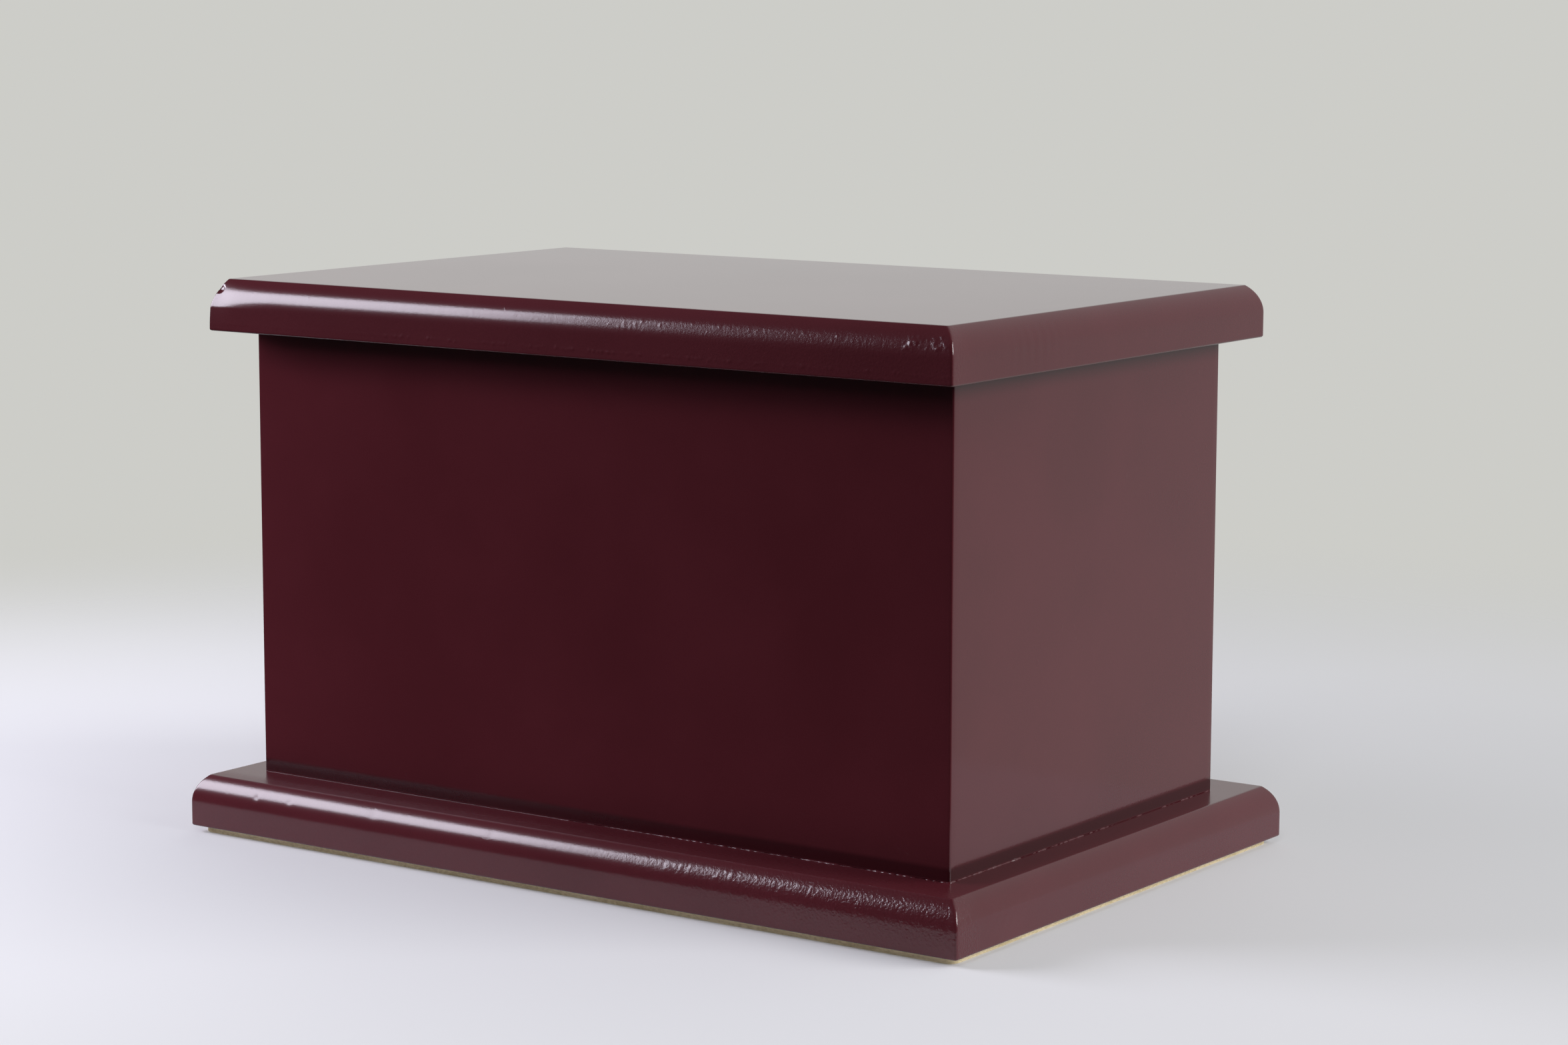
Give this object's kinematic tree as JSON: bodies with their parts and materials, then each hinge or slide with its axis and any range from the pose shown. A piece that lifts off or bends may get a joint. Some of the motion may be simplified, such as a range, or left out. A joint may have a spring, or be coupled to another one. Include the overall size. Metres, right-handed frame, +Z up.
{
  "type": "memorial urn",
  "caption": "Box-shaped memorial urn in lacquered board: an empty case of mitred boards under a lift-off lid, on a wider base with rounded upper edges and a thin pad beneath.",
  "frame": {"origin": "centre of the pad's underside, on the surface that the urn stands on", "axes": "+Z up, +X along the front to the viewer's right, +Y from the front to the back"},
  "size_m": [0.267, 0.175, 0.163],
  "materials": {
    "lacquer": "burgundy semi-gloss lacquer with faint orange peel, dust nibs and small dents",
    "pad_felt": "matt tan felt"
  },
  "bodies": {
    "root": {"lid": "lacquer", "front_board": "lacquer", "back_board": "lacquer", "left_board": "lacquer", "right_board": "lacquer", "base_board": "lacquer", "underside_pad": "pad_felt"}
  },
  "joints": []
}
